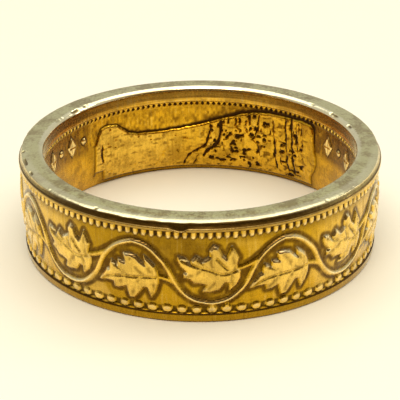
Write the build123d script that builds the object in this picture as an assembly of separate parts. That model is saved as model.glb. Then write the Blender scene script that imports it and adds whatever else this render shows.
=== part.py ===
from build123d import *
from build123d import SkipClean
import math
import os

# A ring made of one coin: the coin's middle is cut out and the rest is folded up into a band.
# It lies on its side, on the edge that was the hole, with the coin's rim on top.
# Millimetres, +Z up. The origin is the middle of the ring, on the surface that it lies on.
# Angles are degrees around the ring, from the front (-Y) towards +X.

# Band
bore_radius = 9.06          # narrowest place, inside the rim
ring_height = 6.0
belly_wall = 1.30           # from the bore to the plain ground outside, at the belly
belly_height = 3.45
barrel_radius = 27.0        # curve of the outer ground from edge to edge
overlap = 0.02              # how far neighbouring shapes run into each other

# Rim outside
rim_wall = 1.25             # from the bore to the rim's outer edge
rim_height = 0.40
rim_lean = 0.11
edge_round_width = 0.36
edge_round_depth = 0.13
lip_height = 0.16
lip_step = 0.08
lip_lean = 0.01
lip_slope = 0.02            # the lip's upper edge lies this far below the rim wall

# Rim inside
inner_rim_height = 1.0
inner_edge_round = 0.30
inner_recess = 0.14         # the inner ground lies this far outside the bore
flare_width = 0.49          # the hollow widens towards the surface that the ring lies on
flare_height = 2.5

# Foot, the plain band below the beads
foot_height = 0.50
foot_wall = 1.31
foot_lean = 0.04
foot_chamfer = 0.10

# Relief outside
relief_height = 0.22
relief_root = 0.18          # how deep each raised piece is rooted in the band
repeats = 8                 # waves of the vine around the ring
repeat_start = -7.65
denticles_per_repeat = 18
denticle_width = 0.22
denticle_length = 0.35
beads_per_repeat = 10
bead_diameter = 0.56
bead_centre_height = 0.76
vine_height = 0.25          # the vine stands a little higher than the leaves and stems
vine_width = 0.23
vine_above_beads = 0.43
vine_below_denticles = 0.51
vine_shoulder = 0.10        # the vine's sides end this far below its crest
stem_width = 0.17
stem_length = 0.95
stem_rise = 0.34
stem_root = 0.16            # how far the stem runs in under its leaf
leaf_length = 3.24
leaf_breadth = 2.73
leaf_offset = 0.35          # each leaf's middle above or below the middle of the wave
trough_leaf_place = 0.228   # middle of the leaf in the vine's trough, as a share of the repeat
crest_leaf_place = 0.726    # middle of the leaf under the vine's crest
vein_width = 0.09
vein_depth = 0.10

# Relief inside
inner_relief = 0.11
inner_denticle_length = 0.25
ornaments_per_repeat = 6
ornament_height = 1.30
ornament_width = 0.74
ornament_middle = 3.72
ornament_dot = 0.36
drape_start = 127.5
drape_margin = 4.0          # bare ground between the drapery and the nearest ornament
drape_span = 98.5
drape_height = 4.58
drape_bottom = 0.35

# The vine's wave over one repeat: share of the repeat, share of the wave's height
vine_wave = [
    (0.000, 0.404),
    (0.059, 0.183),
    (0.114, 0.074),
    (0.181, 0.018),
    (0.257, 0.000),
    (0.337, 0.050),
    (0.392, 0.130),
    (0.448, 0.274),
    (0.503, 0.530),
    (0.559, 0.755),
    (0.614, 0.885),
    (0.670, 0.953),
    (0.732, 1.000),
    (0.792, 0.980),
    (0.837, 0.929),
    (0.892, 0.811),
    (0.948, 0.640),
    (1.000, 0.404),
]

# Leaf outline from the stem round to the stem: share of its length, share of its breadth
leaf_outline = [
    (0.048, 0.005),
    (0.052, 0.086),
    (0.027, 0.207),
    (0.067, 0.302),
    (0.141, 0.463),
    (0.227, 0.218),
    (0.289, 0.291),
    (0.360, 0.452),
    (0.434, 0.496),
    (0.496, 0.394),
    (0.490, 0.269),
    (0.604, 0.178),
    (0.709, 0.280),
    (0.802, 0.115),
    (0.880, 0.222),
    (0.987, 0.258),
    (1.000, 0.178),
    (0.957, 0.051),
    (0.851, -0.064),
    (0.900, -0.143),
    (0.802, -0.211),
    (0.740, -0.302),
    (0.542, -0.339),
    (0.600, -0.487),
    (0.493, -0.498),
    (0.339, -0.452),
    (0.252, -0.302),
    (0.187, -0.315),
    (0.175, -0.474),
    (0.067, -0.361),
    (0.000, -0.200),
    (0.000, -0.086),
]

# Veins cut in a leaf, in the outline's shares: from (length, breadth) to (length, breadth)
leaf_veins = [
    (0.10, -0.03, 0.36, -0.09),
    (0.42, -0.07, 0.66, 0.05),
    (0.72, 0.08, 0.90, 0.17),
    (0.20, 0.00, 0.16, 0.30),
    (0.40, 0.02, 0.42, 0.32),
    (0.20, -0.14, 0.14, -0.32),
    (0.44, -0.14, 0.45, -0.36),
]

# Upper edge of the drapery: share of its span, share of its height
drape_edge = [
    (0.00, 0.546),
    (0.03, 0.993),
    (0.08, 1.000),
    (0.24, 0.983),
    (0.36, 0.928),
    (0.45, 0.820),
    (0.53, 0.730),
    (0.63, 0.672),
    (0.74, 0.660),
    (0.84, 0.710),
    (0.89, 0.865),
    (0.94, 0.900),
    (0.97, 0.873),
    (1.00, 0.655),
]

# Folds cut in the drapery: upper end, lower end (shares of its span and height), width in mm
drape_folds = [
    (0.105, 0.93, 0.120, 0.52, 0.16),
    (0.120, 0.97, 0.135, 0.20, 0.20),
    (0.155, 0.96, 0.165, 0.18, 0.24),
    (0.210, 0.86, 0.215, 0.12, 0.20),
    (0.300, 0.80, 0.345, 0.50, 0.22),
    (0.390, 0.78, 0.440, 0.46, 0.26),
    (0.450, 0.68, 0.520, 0.40, 0.30),
    (0.500, 0.44, 0.585, 0.16, 0.26),
    (0.330, 0.42, 0.400, 0.18, 0.20),
    (0.690, 0.36, 0.730, 0.14, 0.12),
    (0.955, 0.60, 0.965, 0.40, 0.16),
]

belly_radius = bore_radius + belly_wall
rim_radius = bore_radius + rim_wall
inner_radius = bore_radius + inner_recess
foot_radius = bore_radius + foot_wall
relief_radius = inner_radius - inner_relief
lip_radius = rim_radius + rim_lean + lip_step
lip_bottom = ring_height - rim_height - lip_height
repeat_angle = 360 / repeats
vine_low = bead_centre_height + vine_above_beads
vine_high = lip_bottom - denticle_length - vine_below_denticles
leaf_middle = (vine_low + vine_high) / 2


def outward(angle):
    turn = math.radians(angle)
    return Vector(math.sin(turn), -math.cos(turn), 0)


def sideways(angle):
    turn = math.radians(angle)
    return Vector(math.cos(turn), math.sin(turn), 0)


def at(angle, side, height, radius):
    """A point given by its place on the wall as seen from outside at this angle."""
    return sideways(angle) * side + outward(angle) * radius + Vector(0, 0, height)


def barrel(height, offset=0.0):
    """Radius of the barrel-shaped ground at a height, raised by an offset."""
    curve = barrel_radius + offset
    return belly_radius + offset - curve + math.sqrt(curve**2 - (height - belly_height) ** 2)


def flare(height, offset=0.0):
    """Radius of the inner ground in its flared part, raised inwards by an offset."""
    curve = (flare_height**2 + flare_width**2) / (2 * flare_width)
    drop = flare_height - height
    return inner_radius - offset + curve - math.sqrt(curve**2 - drop**2)


def turned(corners, curves, angle=repeat_start, sweep=repeat_angle):
    """Turn a section round the ring: corners are (radius, height), and curves holds the
    middle point of each side that is an arc, under the number of the corner it starts from."""
    points = [at(angle, 0, height, radius) for radius, height in corners]
    edges = []
    for number, point in enumerate(points):
        following = points[(number + 1) % len(points)]
        if number in curves:
            radius, height = curves[number]
            edges.append(Edge.make_three_point_arc(point, at(angle, 0, height, radius), following))
        else:
            edges.append(Edge.make_line(point, following))
    return Solid.revolve(Face(Wire(edges)), sweep, Axis.Z)


def raised(angle, outline, inner, outer):
    """A straight-sided piece standing on the wall: outline is (side, height) pairs."""
    wire = Wire.make_polygon([at(angle, side, height, inner) for side, height in outline])
    return Solid.extrude(Face(wire), outward(angle) * (outer - inner))


def stroke(first, second, width):
    """Outline of a straight stroke of one width between two (side, height) points."""
    run = math.dist(first, second)
    side = (second[1] - first[1]) / run * width / 2
    rise = (first[0] - second[0]) / run * width / 2
    return [
        (first[0] - side, first[1] - rise),
        (second[0] - side, second[1] - rise),
        (second[0] + side, second[1] + rise),
        (first[0] + side, first[1] + rise),
    ]


def upright(width, low, high):
    return [(-width / 2, low), (width / 2, low), (width / 2, high), (-width / 2, high)]


def plain_band():
    """One repeat of the band with its rim, lip, foot and flared hollow, and no relief."""
    ground_top = lip_bottom - overlap
    ground_foot = foot_height + overlap
    shoulder = inner_edge_round * (1 - math.sqrt(0.5))
    curve = (edge_round_width**2 + edge_round_depth**2) / (2 * edge_round_depth)
    sag = curve - math.sqrt(curve**2 - (edge_round_width / 2) ** 2)
    corners = [
        (bore_radius, ring_height - inner_rim_height),
        (bore_radius, ring_height - inner_edge_round),
        (bore_radius + inner_edge_round, ring_height),
        (rim_radius - edge_round_width, ring_height),
        (rim_radius, ring_height - edge_round_depth),
        (rim_radius + rim_lean, ring_height - rim_height),
        (lip_radius - lip_lean, ring_height - rim_height - lip_slope),
        (lip_radius, lip_bottom),
        (barrel(ground_top), ground_top),
        (barrel(ground_foot), ground_foot),
        (foot_radius, foot_height),
        (foot_radius - foot_lean, foot_chamfer),
        (foot_radius - foot_lean - foot_chamfer, 0),
        (flare(0), 0),
        (inner_radius, flare_height),
        (inner_radius, ring_height - inner_rim_height),
    ]
    curves = {
        1: (bore_radius + shoulder, ring_height - shoulder),
        3: (rim_radius - edge_round_width / 2, ring_height - sag),
        8: (barrel(belly_height), belly_height),
        13: (flare(flare_height / 2), flare_height / 2),
    }
    return turned(corners, curves)


def relief_limit():
    """The space that leaves fill: one repeat of the ground, thickened outwards."""
    root = belly_radius - relief_root - relief_height
    corners = [
        (root, foot_height),
        (root, lip_bottom),
        (barrel(lip_bottom, relief_height), lip_bottom),
        (barrel(foot_height, relief_height), foot_height),
    ]
    return turned(corners, {2: (barrel(belly_height, relief_height), belly_height)})


def vine():
    """The wavy ridge, lofted through upright sections that widen where it climbs steeply."""
    sections = []
    for number, (along, share) in enumerate(vine_wave):
        before = vine_wave[max(number - 1, 0)]
        after = vine_wave[min(number + 1, len(vine_wave) - 1)]
        rise = (after[1] - before[1]) * (vine_high - vine_low)
        run = (after[0] - before[0]) * math.radians(repeat_angle) * belly_radius
        reach = vine_width / 2 * math.hypot(1, rise / run)
        middle = vine_low + share * (vine_high - vine_low)
        crest = barrel(middle, vine_height)
        root = barrel(middle) - relief_root
        angle = repeat_start + along * repeat_angle
        section = [
            (middle - reach, root),
            (middle - reach, crest - vine_shoulder),
            (middle, crest),
            (middle + reach, crest - vine_shoulder),
            (middle + reach, root),
        ]
        sections.append(Wire.make_polygon([at(angle, 0, height, r) for height, r in section]))
    return Solid.make_loft(sections)


def leaf(along, side):
    """A lobed leaf on its stem, with veins cut in. Side is 1 for the leaf that sits in the
    trough of the wave and -1 for the one under its crest."""
    angle = repeat_start + along * repeat_angle
    middle = leaf_middle + side * leaf_offset

    def place(length, breadth):
        return ((0.5 - length) * leaf_length, middle + side * breadth * leaf_breadth)

    foot = place(leaf_outline[0][0] + stem_root / leaf_length, 0)
    tip = (leaf_length / 2 + stem_length, middle + side * stem_rise)
    root = belly_radius - relief_root - relief_height
    top = belly_radius + 2 * relief_height
    blade = raised(angle, [place(*point) for point in leaf_outline], root, top)
    stem = raised(angle, stroke(foot, tip, stem_width), root, top)
    blank = blade.fuse(stem).intersect(relief_limit()).solids()[0]
    floor = belly_radius + relief_height - vein_depth
    veins = [
        raised(angle, stroke(place(l1, b1), place(l2, b2), vein_width), floor, top)
        for l1, b1, l2, b2 in leaf_veins
    ]
    return blank.cut(*veins)


def denticles():
    """The row of short bars below the lip, outside."""
    height = lip_bottom - denticle_length
    top = lip_radius - lip_lean
    pitch = repeat_angle / denticles_per_repeat
    outline = upright(denticle_width, height, lip_bottom + overlap)
    return [
        raised(repeat_start + (number + 0.5) * pitch, outline, top - relief_height - relief_root, top)
        for number in range(denticles_per_repeat)
    ]


def inner_denticles():
    """The same row inside, shorter, below the inner rim."""
    rim_bottom = ring_height - inner_rim_height
    pitch = repeat_angle / denticles_per_repeat
    outline = upright(denticle_width, rim_bottom - inner_denticle_length, rim_bottom + overlap)
    return [
        raised(repeat_start + (number + 0.5) * pitch, outline, relief_radius, inner_radius + relief_root)
        for number in range(denticles_per_repeat)
    ]


def beads():
    """The row of domed beads above the foot."""
    pitch = repeat_angle / beads_per_repeat
    radius = barrel(bead_centre_height, relief_height) - bead_diameter / 2
    return [
        Solid.make_sphere(
            bead_diameter / 2,
            Plane(at(repeat_start + (number + 0.5) * pitch, 0, bead_centre_height, radius)),
        )
        for number in range(beads_per_repeat)
    ]


def repeat():
    """One repeat of the ring, with everything that comes back with each wave."""
    leaves = [leaf(trough_leaf_place, 1), leaf(crest_leaf_place, -1)]
    return plain_band().fuse(vine(), *leaves, *denticles(), *beads(), *inner_denticles())


def drapery():
    """Cloth for the inner wall at the back: panels side by side, cut by the folds."""
    inner = bore_radius - inner_recess
    outer = flare(0) + relief_root
    chord = math.radians(drape_span) * inner_radius
    panels = []
    for first, last in zip(drape_edge, drape_edge[1:]):
        half = chord * (last[0] - first[0]) / 2 + overlap
        outline = [
            (-half, 0),
            (half, 0),
            (half, last[1] * drape_height),
            (-half, first[1] * drape_height),
        ]
        middle = (first[0] + last[0]) / 2
        panels.append(raised(drape_start + middle * drape_span, outline, inner, outer))
    folds = []
    for top_along, top_share, low_along, low_share, width in drape_folds:
        middle = (top_along + low_along) / 2
        top = ((top_along - middle) * chord, top_share * drape_height)
        low = ((low_along - middle) * chord, low_share * drape_height)
        angle = drape_start + middle * drape_span
        folds.append(raised(angle, stroke(top, low, width), inner - overlap, outer + overlap))
    return panels[0].fuse(*panels[1:]).cut(*folds)


def drape_limit(number):
    """The space that the drapery fills in one repeat of the inner wall."""
    root = flare(0) + relief_root / 2
    corners = [
        (relief_radius, flare_height),
        (flare(drape_bottom, inner_relief), drape_bottom),
        (root, drape_bottom),
        (root, drape_height),
        (relief_radius, drape_height),
    ]
    curves = {0: (flare(flare_height / 2, inner_relief), flare_height / 2)}
    return turned(corners, curves, repeat_start + number * repeat_angle)


def ornaments(number):
    """Lozenges and dots by turns along one repeat, wherever the drapery leaves room."""
    half_width = ornament_width / 2
    half_height = ornament_height / 2
    lozenge = [
        (-half_width, ornament_middle),
        (0, ornament_middle - half_height),
        (half_width, ornament_middle),
        (0, ornament_middle + half_height),
    ]
    pieces = []
    for place in range(ornaments_per_repeat):
        angle = repeat_start + (number + (place + 0.5) / ornaments_per_repeat) * repeat_angle
        if -drape_margin < angle - drape_start < drape_span + drape_margin:
            continue
        if place % 2 == 0:
            pieces.append(raised(angle, lozenge, relief_radius, inner_radius + relief_root))
        else:
            centre = at(angle, 0, ornament_middle, relief_radius)
            plane = Plane(centre, x_dir=sideways(angle), z_dir=outward(angle))
            pieces.append(Solid.make_cylinder(ornament_dot / 2, inner_relief + relief_root, plane))
    return pieces


def ring_band():
    """The repeats, each with its own stretch of the inner relief, joined face to face."""
    one = repeat()
    cloth = drapery()
    stretches = []
    for number in range(repeats):
        stretch = one.rotate(Axis.Z, repeat_angle * number)
        own = ornaments(number)
        start = repeat_start + number * repeat_angle
        if start < drape_start + drape_span and start + repeat_angle > drape_start:
            own += cloth.intersect(drape_limit(number)).solids()
        stretches.append(stretch.fuse(*own))
    return stretches[0].fuse(*stretches[1:], glue=True)


os.makedirs("parts", exist_ok=True)
# The joins leave some faces in several patches, and they stay so.
with SkipClean():
    export_step(ring_band(), "parts/ring_band.step")
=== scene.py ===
import math
from types import SimpleNamespace

import bmesh
import bpy
import numpy as np
from mathutils import Matrix, Vector


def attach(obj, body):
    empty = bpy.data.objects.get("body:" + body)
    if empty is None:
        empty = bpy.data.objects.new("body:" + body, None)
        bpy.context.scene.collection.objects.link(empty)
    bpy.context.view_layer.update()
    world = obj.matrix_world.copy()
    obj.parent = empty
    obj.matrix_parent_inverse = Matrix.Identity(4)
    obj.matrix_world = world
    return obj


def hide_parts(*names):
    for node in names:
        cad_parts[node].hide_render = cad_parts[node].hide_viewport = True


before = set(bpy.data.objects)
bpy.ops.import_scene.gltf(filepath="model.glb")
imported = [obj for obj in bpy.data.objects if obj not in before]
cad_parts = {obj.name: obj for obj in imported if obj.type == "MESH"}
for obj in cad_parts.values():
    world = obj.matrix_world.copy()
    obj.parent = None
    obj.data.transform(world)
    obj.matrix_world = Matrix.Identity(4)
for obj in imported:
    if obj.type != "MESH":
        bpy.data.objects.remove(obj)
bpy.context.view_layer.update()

# Lengths are millimetres until a mesh is finished, and MM turns them to metres.
# Angles are degrees round the ring from the front (-Y) towards +X.
MM = 0.001
COLUMNS = 1152
WELD = 0.0001

# Radii and heights of the band's section
BORE = 9.06
HEIGHT = 6.0
RIM_OUTSIDE = 10.33
LIP_OUTSIDE = 10.50
LIP_TOP = 5.60
LIP_FOOT = 5.43
LIP_CORNER = 0.015
ROUND_TOP = 9.78
ROUND_FOOT = 5.80
INNER_ROUND = 0.30
INNER_LEDGE = 5.0
INNER_GROUND = 9.20
FLARE_WIDTH = 0.49
FLARE_HEIGHT = 2.5
BELLY = 10.36
BELLY_HEIGHT = 3.45
BARREL_CURVE = 27.0
FOOT_TOP = 0.50
FOOT_OUTSIDE = 10.37

# Rows of points up the outer and inner ground, and the radii past which a point of the outer wall
# or of the rim is on its visible side
WALL_ROWS = 70
LINING_ROWS = 84
WALL_SIDE = 10.1
RIM_SIDE = 10.2

# Corner between the resting edge and the foot: radius, height
foot_corner = [(10.23, 0.0), (10.29, 0.03), (10.33, 0.09), (10.335, 0.14)]

MM_PER_DEGREE = math.radians(1) * BELLY
INNER_MM_PER_DEGREE = math.radians(1) * INNER_GROUND


# Sections

def run(start, end, steps):
    """Points from start to end in equal steps, without the last one."""
    return [tuple(np.array(start) + (np.array(end) - start) * i / steps) for i in range(steps)]


def round_corner(centre, radii, first, last, steps):
    """Points on a quarter of an ellipse, angles in degrees, without the last one."""
    angles = [math.radians(first + (last - first) * i / steps) for i in range(steps)]
    return [(centre[0] + radii[0] * math.cos(a), centre[1] + radii[1] * math.sin(a)) for a in angles]


def barrel(height):
    """Radius of the outer ground, which swells towards half height."""
    drop = np.asarray(height) - BELLY_HEIGHT
    return BELLY - BARREL_CURVE + np.sqrt(BARREL_CURVE**2 - drop**2)


def flare(height):
    """Radius of the inner ground, which widens towards the resting edge."""
    curve = (FLARE_HEIGHT**2 + FLARE_WIDTH**2) / (2 * FLARE_WIDTH)
    drop = np.clip(FLARE_HEIGHT - np.asarray(height), 0, None)
    return INNER_GROUND + curve - np.sqrt(curve**2 - drop**2)


def wall_section():
    """Foot and outer wall, closed behind by a plain slope inside the metal."""
    heights = np.linspace(FOOT_TOP + 0.02, LIP_FOOT + LIP_CORNER, WALL_ROWS)
    points = run((float(flare(0)), 0), foot_corner[0], 4)
    points += foot_corner[:-1]
    points += run(foot_corner[-1], (FOOT_OUTSIDE, FOOT_TOP - 0.02), 5)
    points += [(FOOT_OUTSIDE, FOOT_TOP - 0.02), (FOOT_OUTSIDE - 0.03, FOOT_TOP)]
    points += [(float(barrel(z)), float(z)) for z in heights]
    return points + [(INNER_GROUND + 0.01, INNER_LEDGE + 0.02)]


def rim_section():
    """Lip, rim wall, top face and inner rim, closed below inside the metal."""
    lip_edge = LIP_OUTSIDE - LIP_CORNER
    outer_radii = (RIM_OUTSIDE - ROUND_TOP, HEIGHT - ROUND_FOOT)
    inner_centre = (BORE + INNER_ROUND, HEIGHT - INNER_ROUND)
    points = run((RIM_SIDE, LIP_FOOT), (lip_edge, LIP_FOOT), 3)
    points += [(lip_edge, LIP_FOOT), (LIP_OUTSIDE, LIP_FOOT + LIP_CORNER)]
    points += run((LIP_OUTSIDE, LIP_FOOT + 0.05), (LIP_OUTSIDE - 0.01, LIP_TOP - 0.03), 3)
    points += [(LIP_OUTSIDE - 0.01, LIP_TOP - 0.03), (LIP_OUTSIDE - 0.025, LIP_TOP - 0.008)]
    points += run((LIP_OUTSIDE - 0.06, LIP_TOP + 0.002), (RIM_OUTSIDE, ROUND_FOOT), 6)
    points += round_corner((ROUND_TOP, ROUND_FOOT), outer_radii, 0, 90, 10)
    points += run((ROUND_TOP, HEIGHT), (inner_centre[0], HEIGHT), 6)
    points += round_corner(inner_centre, (INNER_ROUND, INNER_ROUND), 90, 180, 8)
    points += run((BORE, inner_centre[1]), (BORE, INNER_LEDGE), 7)
    return points + [(BORE, INNER_LEDGE), (INNER_GROUND + 0.05, INNER_LEDGE)]


def lining_section():
    """Inner wall below the inner rim, closed behind by a plain slope inside the metal."""
    heights = np.linspace(INNER_LEDGE + 0.01, 0.0, LINING_ROWS)
    points = [(float(flare(z)), float(z)) for z in heights]
    return points + [(INNER_GROUND + 0.20, 2.5), (INNER_GROUND + 0.08, INNER_LEDGE + 0.01)]


def turned(name, section):
    """Roll a grid up into a ring with this closed section and return its mesh object."""
    rows = len(section)
    bm = bmesh.new()
    bmesh.ops.create_grid(bm, x_segments=COLUMNS, y_segments=rows, size=1)
    for vert in bm.verts:
        turn = vert.co.x * math.pi
        radius, height = section[round((vert.co.y + 1) / 2 * rows) % rows]
        vert.co = (radius * math.sin(turn), -radius * math.cos(turn), height)
    bmesh.ops.remove_doubles(bm, verts=bm.verts, dist=WELD)
    bmesh.ops.recalc_face_normals(bm, faces=bm.faces)
    mesh = bpy.data.meshes.new(name)
    bm.to_mesh(mesh)
    bm.free()
    piece = bpy.data.objects.new(name, mesh)
    bpy.context.collection.objects.link(piece)
    return piece


class Skin:
    """A piece's points as arrays of angle, radius and height, to be pushed about."""

    def __init__(self, piece):
        self.mesh = piece.data
        count = len(self.mesh.vertices)
        points = np.empty(count * 3)
        self.mesh.vertices.foreach_get("co", points)
        x, y, z = points.reshape(count, 3).T
        self.angle = np.degrees(np.arctan2(x, -y))
        self.radius = np.hypot(x, y)
        self.height = z.copy()

    def write(self):
        """Put the points back in the mesh, in metres, and shade it smooth."""
        turn = np.radians(self.angle)
        points = np.stack([self.radius * np.sin(turn), -self.radius * np.cos(turn), self.height], 1)
        self.mesh.vertices.foreach_set("co", (points * MM).ravel())
        self.mesh.polygons.foreach_set("use_smooth", [True] * len(self.mesh.polygons))
        self.mesh.update()

    def paint(self, name, values, where=slice(None), elsewhere=0.0):
        """Store a value at each point, for the materials."""
        whole = np.full(self.angle.shape, elsewhere, np.float32)
        whole[where] = values
        self.mesh.attributes.new(name, "FLOAT", "POINT").data.foreach_set("value", whole)


# Distances, smooth steps and noise on the unrolled wall

def rise(value, low, high):
    """Smooth step from 0 at low to 1 at high."""
    share = np.clip((value - low) / (high - low), 0, 1)
    return share * share * (3 - 2 * share)


def bell(value, middle, spread):
    """1 at the middle, running out softly on both sides."""
    return np.exp(-(((value - middle) / spread) ** 2))


def distance_to_path(x, y, path):
    """Distance from each point to a chain of straight steps."""
    best = np.full(x.shape, np.inf)
    for (x0, y0), (x1, y1) in zip(path, path[1:]):
        dx, dy = x1 - x0, y1 - y0
        share = np.clip(((x - x0) * dx + (y - y0) * dy) / (dx * dx + dy * dy), 0, 1)
        best = np.minimum(best, (x - x0 - share * dx) ** 2 + (y - y0 - share * dy) ** 2)
    return np.sqrt(best)


def distance_inside(x, y, outline):
    """Distance to a closed outline, positive inside it and negative outside."""
    closed = outline + outline[:1]
    inside = np.zeros(x.shape, bool)
    for (x0, y0), (x1, y1) in zip(closed, closed[1:]):
        if y0 != y1:
            crosses = (y0 > y) != (y1 > y)
            inside ^= crosses & (x < (x1 - x0) * (y - y0) / (y1 - y0) + x0)
    return np.where(inside, 1, -1) * distance_to_path(x, y, closed)


def smooth_path(points, steps=8):
    """Catmull-Rom curve through the points."""
    rows = np.array([points[0]] + list(points) + [points[-1]], float)
    path = []
    for p0, p1, p2, p3 in zip(rows, rows[1:], rows[2:], rows[3:]):
        for i in range(steps):
            t = i / steps
            path.append(tuple(0.5 * (
                2 * p1 + (p2 - p0) * t + (2 * p0 - 5 * p1 + 4 * p2 - p3) * t * t
                + (3 * p1 - p0 - 3 * p2 + p3) * t**3
            )))
    return path + [tuple(rows[-1])]


def unrolled(points, per_degree=MM_PER_DEGREE):
    """Places in degrees and millimetres, both as millimetres on the wall."""
    return [(angle * per_degree, height) for angle, height in points]


def ridge(gap, half, height):
    """A ridge with a narrow flat crest whose flanks run out softly on the ground."""
    return height * (1 - rise(gap, 0.2 * half, 1.5 * half))


def grain(seed, angle, height, width, tall):
    """Noise between -1 and 1 that joins up round the ring, in patches of width by tall. Each use
    has a seed of its own, so none repeats another."""
    columns = round(2 * math.pi * BELLY / width)
    rows = math.ceil(HEIGHT / tall) + 3
    lattice = np.random.default_rng(seed).uniform(-1, 1, (columns, rows))
    across = np.mod(angle / 360, 1) * columns
    up = np.clip(height, 0, HEIGHT) / tall
    i, j = np.floor(across).astype(int), np.floor(up).astype(int)
    a, b = rise(across - i, 0, 1), rise(up - j, 0, 1)
    left, right = i % columns, (i + 1) % columns
    low = lattice[left, j] * (1 - a) + lattice[right, j] * a
    high = lattice[left, j + 1] * (1 - a) + lattice[right, j + 1] * a
    return low * (1 - b) + high * b


def rough(seed, angle, height, size):
    """Two layers of noise, the second half as large and half as strong."""
    coarse = grain(seed, angle, height, size, size)
    fine = grain(seed + 50, angle, height, size / 2, size / 2)
    return (coarse + 0.5 * fine) / 1.5


# Outer wall

REPEATS = 8
REPEAT = 360 / REPEATS
REPEAT_START = -20.0

# The plants are shifted by up to VINE_SWAY degrees, in one wave round the ring that starts at
# VINE_SWAY_FROM, and their edges by up to PLANTS_UNEVEN
VINE_SWAY = 0.94
VINE_SWAY_FROM = 3.9
PLANTS_UNEVEN = 0.030

# Heights of the relief, and half widths of vine and stems
LEAF_RELIEF = 0.17
VINE_RELIEF = 0.13
VINE_HALF = 0.12
STEM_RELIEF = 0.09
STEM_HALF = 0.12

# Distances are taken again this far higher up, to tell upper edges from lower ones
STEP_UP = 0.04

# How far tarnish runs out from the plants
HALO_REACH = 0.25

BEADS = 80
BEAD_RELIEF = 0.12
BEAD_MIDDLE = 0.76
BEAD_HALF_LENGTH = 0.285
BEAD_HALF_HEIGHT = 0.235
BEAD_SQUARENESS = 2.5
SPUR_RELIEF = 0.15

DENTICLES = 144
DENTICLE_RELIEF = 0.12
DENTICLE_TIP = 5.00
DENTICLE_HALF = 0.088
DENTICLE_CORNER = 0.07

# Shares of tarnish between denticles and between beads, of painted shadow under the lip, of tarnish round
# the beads and under the denticles, and of painted shade on the front of the ground, with the front's middle
# and reach in degrees
TEETH_DARK = 0.72
BEADS_DARK = 0.60
UNDER_LIP_SHADOW = 0.60
NEAR_BEADS_DARK = 0.55
NEAR_TEETH_DARK = 0.65
FRONT_PAINTED_SHADE = 0.72
FRONT_MIDDLE = -13
FRONT_REACH = 28

# How far tarnish runs out into the ground where it is thick
RECESS_REACH = 0.09

# Vine, stems and leaf outlines: degrees from the start of a repeat, height
vine_points = [
    (0.0, 4.60),
    (2.5, 4.53),
    (5.0, 4.33),
    (7.5, 3.96),
    (10.0, 3.42),
    (12.5, 2.52),
    (15.0, 1.84),
    (17.5, 1.45),
    (20.0, 1.26),
    (23.9, 1.18),
    (27.5, 1.34),
    (30.0, 1.63),
    (32.5, 2.12),
    (34.0, 2.56),
    (35.0, 2.98),
    (36.3, 3.42),
    (37.6, 3.76),
    (40.0, 4.19),
    (42.5, 4.45),
    (45.0, 4.60),
]
upper_stem_points = [(30.4, 3.20), (32.5, 3.28), (34.8, 3.45), (36.9, 3.66)]
lower_stem_points = [(7.2, 2.74), (9.2, 2.66), (11.0, 2.54), (12.6, 2.40)]

upper_leaf = [
    (30.66, 3.25),
    (30.60, 3.47),
    (31.08, 3.80),
    (30.32, 4.06),
    (29.00, 4.50),
    (27.48, 3.83),
    (26.34, 4.03),
    (25.06, 4.47),
    (23.74, 4.59),
    (22.63, 4.31),
    (22.80, 3.97),
    (20.69, 3.72),
    (18.82, 4.00),
    (17.68, 3.75),
    (17.16, 3.55),
    (15.78, 3.84),
    (13.87, 3.94),
    (13.63, 3.72),
    (14.39, 3.38),
    (16.30, 3.06),
    (15.43, 2.94),
    (15.43, 2.75),
    (17.16, 2.66),
    (18.27, 2.41),
    (19.93, 2.41),
    (21.83, 2.31),
    (21.66, 2.16),
    (20.80, 1.91),
    (22.70, 1.87),
    (25.47, 2.00),
    (27.03, 2.41),
    (28.17, 2.38),
    (28.41, 1.94),
    (30.32, 2.25),
    (31.53, 2.69),
    (31.53, 3.00),
]
lower_leaf = [
    (8.10, 2.69),
    (7.76, 3.00),
    (6.90, 3.34),
    (5.50, 3.59),
    (3.80, 3.81),
    (4.10, 3.33),
    (2.70, 3.50),
    (1.40, 3.75),
    (-0.60, 3.84),
    (-2.40, 3.78),
    (-1.80, 3.30),
    (-4.10, 3.38),
    (-4.35, 3.06),
    (-6.30, 3.25),
    (-6.90, 2.97),
    (-6.80, 2.72),
    (-7.80, 2.66),
    (-9.00, 2.31),
    (-10.50, 1.91),
    (-8.30, 2.00),
    (-5.80, 2.00),
    (-5.60, 1.69),
    (-4.00, 1.69),
    (-1.80, 1.88),
    (-1.20, 1.40),
    (-0.80, 1.20),
    (0.80, 1.22),
    (2.40, 1.62),
    (3.60, 1.97),
    (4.65, 1.95),
    (5.50, 1.50),
    (5.80, 1.34),
    (7.10, 1.75),
    (8.00, 2.25),
]
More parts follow.
